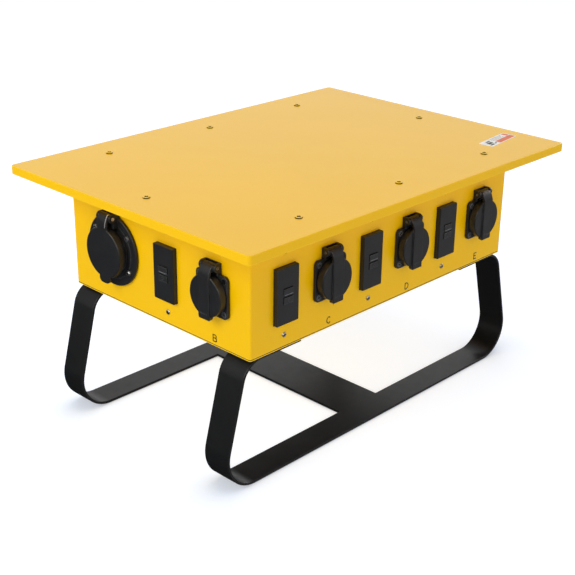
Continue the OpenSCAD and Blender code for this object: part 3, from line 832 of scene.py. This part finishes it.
def cover_label():
    """A generic sticker near the cover's corner: a white ground, an orange band, bars and a sign.
    Each layer has its material, its lowest and highest film in mm, its corner radius in mm and the
    corners of its parts."""
    length, height, tilt = 64 * MM, 20.6 * MM, math.radians(6.7)
    corner = (199.15 * MM, -150 * MM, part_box("top_cover")[1].z)
    place = Matrix.Translation(corner) @ Matrix.Rotation(tilt, 4, "Z")
    layers = {
        "label_ground": (LABEL_WHITE, 0.0, 0.10, 1.5, [((0, 0), (length, height))]),
        "label_band": (LABEL_ORANGE, 0.10, 0.14, 0.6,
                       [((0.36 * length, 0.06 * height), (0.97 * length, 0.46 * height)),
                        ((0.88 * length, 0.50 * height), (0.97 * length, 0.92 * height))]),
        "label_bars": (LABEL_GREY, 0.10, 0.13, 0.3,
                       [((0.36 * length, (0.56 + 0.13 * k) * height),
                         ((0.82 - 0.06 * (k % 2)) * length, (0.62 + 0.13 * k) * height))
                        for k in range(3)]),
        "label_sign": (LABEL_BLACK, 0.10, 0.14, 0.4,
                       [((0.06 * length, 0.16 * height), (0.20 * length, 0.30 * height)),
                        ((0.09 * length, 0.36 * height), (0.26 * length, 0.60 * height)),
                        ((0.16 * length, 0.66 * height), (0.30 * length, 0.80 * height)),
                        ((0.24 * length, 0.20 * height), (0.31 * length, 0.32 * height))]),
    }
    for name, (material, low, high, radius, parts) in layers.items():
        bm = bmesh.new()
        for lo, hi in parts:
            plate(bm, lo, hi, radius * MM, low * MM, high * MM, place)
        piece(name, finished_mesh(bm, name), None, "root", (), [material])


def button_marks():
    """A ridge along the foot of each test button, pale as a painted highlight, and a raised ring on each
    reset button.
    """
    for letter in LETTERS:
        for kind in ("test", "reset"):
            lo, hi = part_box("%s_button_%s" % (kind, letter))
            side = side_of((lo + hi) / 2)
            place = Matrix.Translation(outer_point(lo, hi, side)) @ facing(side)
            bm = bmesh.new()
            if kind == "test":
                size = facing(side).inverted() @ (hi - lo)
                half_x, low = abs(size.x) / 2 - 0.5 * MM, 0.35 * MM - abs(size.y) / 2
                plate(bm, (-half_x, low), (half_x, low + 0.9 * MM), 0.3 * MM, -0.7 * MM, 0.15 * MM, place)
            else:
                ring = [place @ Vector((x, y, 0.05 * MM)) for x, y in arc((0, 0), 1.7 * MM, 0, 360, 24)]
                tube(bm, ring, 0.35 * MM, 8)
            name = "%s_mark_%s" % (kind, letter)
            body = frame["nodes"]["%s_button_%s" % (kind, letter)]["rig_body"]
            # The test ridge is pale: a painted highlight along the button's foot.
            ridge = HIGHLIGHT_RIDGE if kind == "test" else MATERIALS["module_plastic"]
            piece(name, finished_mesh(bm, name), "button_plastic", body, (), [ridge])


def lid_spring_leg(kind):
    """The spring's free leg, which lies on a flanged device's lid. Its line is in mm, in the wall's
    axes, from the flange's middle."""
    lo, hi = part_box(kind + "_flange")
    place = on_wall((lo + hi) / 2, mid_height("flange_screws"))
    line = [(8.4, 47.4, 12.2), (8.4, 47.8, 14.2), (8.3, 46.0, 15.6), (7.9, 42.0, 17.2),
            (7.2, 37.0, 18.3), (6.7, 33.2, 18.55), (6.6, 32.6, 18.3)]
    points = [place @ (Vector(p) * MM) for p in line]
    smooth = []
    for a, b in zip(points, points[1:]):
        smooth += [a.lerp(b, t / 4) for t in range(4)]
    bm = bmesh.new()
    tube(bm, smooth + [points[-1]], 0.5 * MM)
    name = kind + "_spring_leg"
    piece(name, finished_mesh(bm, name, 60), "nickel", frame["nodes"][kind + "_lid"]["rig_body"])


def marks():
    """Letters, label, button marks and the two visible spring legs."""
    circuit_letters()
    cover_label()
    button_marks()
    lid_spring_leg("inlet")
    lid_spring_leg("feed")


marks()


# ---------------------------------------------------------------- what keeps its CAD shape

def paint_cad_nodes():
    """Gives every CAD node the material of its slot. The replaced ones don't show."""
    for name, obj in frame["nodes"].items():
        obj.data.materials.clear()
        obj.data.materials.append(MATERIALS[SLOT_OF[name]])


paint_cad_nodes()


# ---------------------------------------------------------------- studio

def backdrop():
    """A white studio wall far behind the object, seen by the camera alone."""
    material, _, shader = new_material("studio_wall")
    shader.inputs["Base Color"].default_value = (0.0, 0.0, 0.0, 1.0)
    shader.inputs["Specular IOR Level"].default_value = 0.0
    shader.inputs["Emission Color"].default_value = (1.0, 1.0, 1.0, 1.0)
    shader.inputs["Emission Strength"].default_value = 1.0
    radius, sides = 11.0, 48
    circle = arc((0, 0), radius, 0, 360, sides)[:sides]
    bm = bmesh.new()
    bridge(bm, [[Vector((x, y, z)) for x, y in circle] for z in (-0.1, 30.0)], caps=False)
    obj = bpy.data.objects.new("backdrop", finished_mesh(bm, "backdrop"))
    obj.data.materials.append(material)
    bpy.context.scene.collection.objects.link(obj)
    for rays in ("diffuse", "glossy", "transmission", "volume_scatter", "shadow"):
        setattr(obj, "visible_" + rays, False)


def floor():
    """A pale floor that is almost white, with a soft shade close to what stands on it."""
    material, tree, shader = new_material("studio_floor")
    near = node(tree, "ShaderNodeAmbientOcclusion", {"samples": 8}, {"Distance": 0.08})
    openness = remap(tree, near.outputs["AO"], 0.50, 0.98, 0.0, 1.0)
    glow = mix_colour(tree, openness, (0.55, 0.55, 0.56, 1.0), (0.96, 0.97, 1.0, 1.0))
    tree.links.new(glow, shader.inputs["Emission Color"])
    clouds = remap(tree, noise(tree, 2.0), 0.3, 0.7, 0.0, 1.0)
    pale = mix_colour(tree, clouds, (0.43, 0.485, 0.60, 1.0), (0.44, 0.495, 0.61, 1.0))
    tree.links.new(pale, shader.inputs["Base Color"])
    shader.inputs["Roughness"].default_value = 0.9
    shader.inputs["Specular IOR Level"].default_value = 0.0
    shader.inputs["Emission Strength"].default_value = 0.74
    material.cycles.emission_sampling = "NONE"
    mesh = bpy.data.meshes.new("floor")
    reach = 12.0
    mesh.from_pydata([(-reach, -reach, 0), (reach, -reach, 0), (reach, reach, 0), (-reach, reach, 0)],
                     [], [(0, 1, 2, 3)])
    obj = bpy.data.objects.new("floor", mesh)
    obj.location.z = -0.2 * MM
    obj.visible_glossy = False
    mesh.materials.append(material)
    bpy.context.scene.collection.objects.link(obj)


def sky_card(tree, direction, start, full, low, high):
    """A soft round patch of the surroundings: `high` in its middle and `low` all round it."""
    place = node(tree, "ShaderNodeTexCoord")
    card = node(tree, "ShaderNodeVectorMath", {"operation": "DOT_PRODUCT"})
    card.inputs[1].default_value = Vector(direction).normalized()
    tree.links.new(place.outputs["Generated"], card.inputs[0])
    return remap(tree, card.outputs["Value"], start, full, low, high)


def sky():
    """White surroundings above the floor with a bright card high behind the object. What is below
    the floor shows only in gloss: it is dark but for a pale card low in front."""
    world = bpy.data.worlds.new("studio")
    bpy.context.scene.world = world
    world.use_nodes = True
    tree = world.node_tree
    background = tree.nodes["Background"]
    glow = sky_card(tree, (0.662, 0.636, 0.398), 0.72, 0.97, 0.50, 0.98)
    place = node(tree, "ShaderNodeTexCoord")
    height = node(tree, "ShaderNodeSeparateXYZ")
    tree.links.new(place.outputs["Generated"], height.inputs["Vector"])
    above = remap(tree, height.outputs["Z"], -0.10, 0.02, 0.04, 1.0)
    lit = node(tree, "ShaderNodeMath", {"operation": "MULTIPLY"})
    tree.links.new(glow, lit.inputs[0])
    tree.links.new(above, lit.inputs[1])
    total = node(tree, "ShaderNodeMath", {"operation": "ADD"})
    tree.links.new(lit.outputs["Value"], total.inputs[0])
    tree.links.new(sky_card(tree, (0.66, -0.636, -0.40), 0.70, 0.97, 0.0, 0.34), total.inputs[1])
    tree.links.new(total.outputs["Value"], background.inputs["Strength"])
    background.inputs["Color"].default_value = (1.0, 1.0, 1.0, 1.0)


def area_light(name, place, size, power, colour, diffuse=True, glossy=True):
    """A soft square lamp aimed at the box, which may light only the diffuse or only the gloss."""
    target = (0, 0, 0.2)
    data = bpy.data.lights.new(name, "AREA")
    data.shape, data.size, data.energy, data.color = "SQUARE", size, power, colour
    lamp = bpy.data.objects.new(name, data)
    lamp.location = place
    lamp.rotation_euler = (Vector(target) - Vector(place)).to_track_quat("-Z", "Y").to_euler()
    lamp.visible_diffuse = diffuse
    lamp.visible_glossy = glossy
    bpy.context.scene.collection.objects.link(lamp)


def lamps():
    """The studio's lamps. Their powers are in watts and their sizes in metres."""
    white = (1.0, 1.0, 1.0)
    area_light("key", (-2.9, 0.3, 2.0), 1.6, 53, (0.97, 1.03, 0.97))
    area_light("overhead", (0.2, 0.3, 3.0), 1.2, 18, white)
    area_light("highlight_near", (-1.6, -2.2, 1.7), 0.6, 25, white, diffuse=False)
    area_light("highlight_right", (2.6, -0.6, 1.2), 0.6, 40, white, diffuse=False)
    area_light("fill_front", (0.7, -3.0, 0.9), 1.6, 8, (1.06, 0.98, 0.92), glossy=False)


def camera():
    """The photograph's viewpoint, with the direction, roll and lens that fit its corners."""
    place = Vector((-1.0118, -0.9573, 0.7305))
    back = Vector((-0.6618, -0.6356, 0.3975)).normalized()
    right = Vector((-back.y, back.x, 0)).normalized()
    up = back.cross(right)
    roll = math.radians(0.743)
    turned = right * math.cos(roll) + up * math.sin(roll)
    data = bpy.data.cameras.new("camera")
    data.lens, data.sensor_width = 73.63, 36.0
    obj = bpy.data.objects.new("camera", data)
    rotation = Matrix((turned, back.cross(turned), back)).transposed().to_4x4()
    obj.matrix_world = Matrix.Translation(place) @ rotation
    bpy.context.scene.collection.objects.link(obj)
    bpy.context.scene.camera = obj


floor()
backdrop()
sky()
camera()
lamps()
bpy.context.scene.view_settings.view_transform = "Standard"
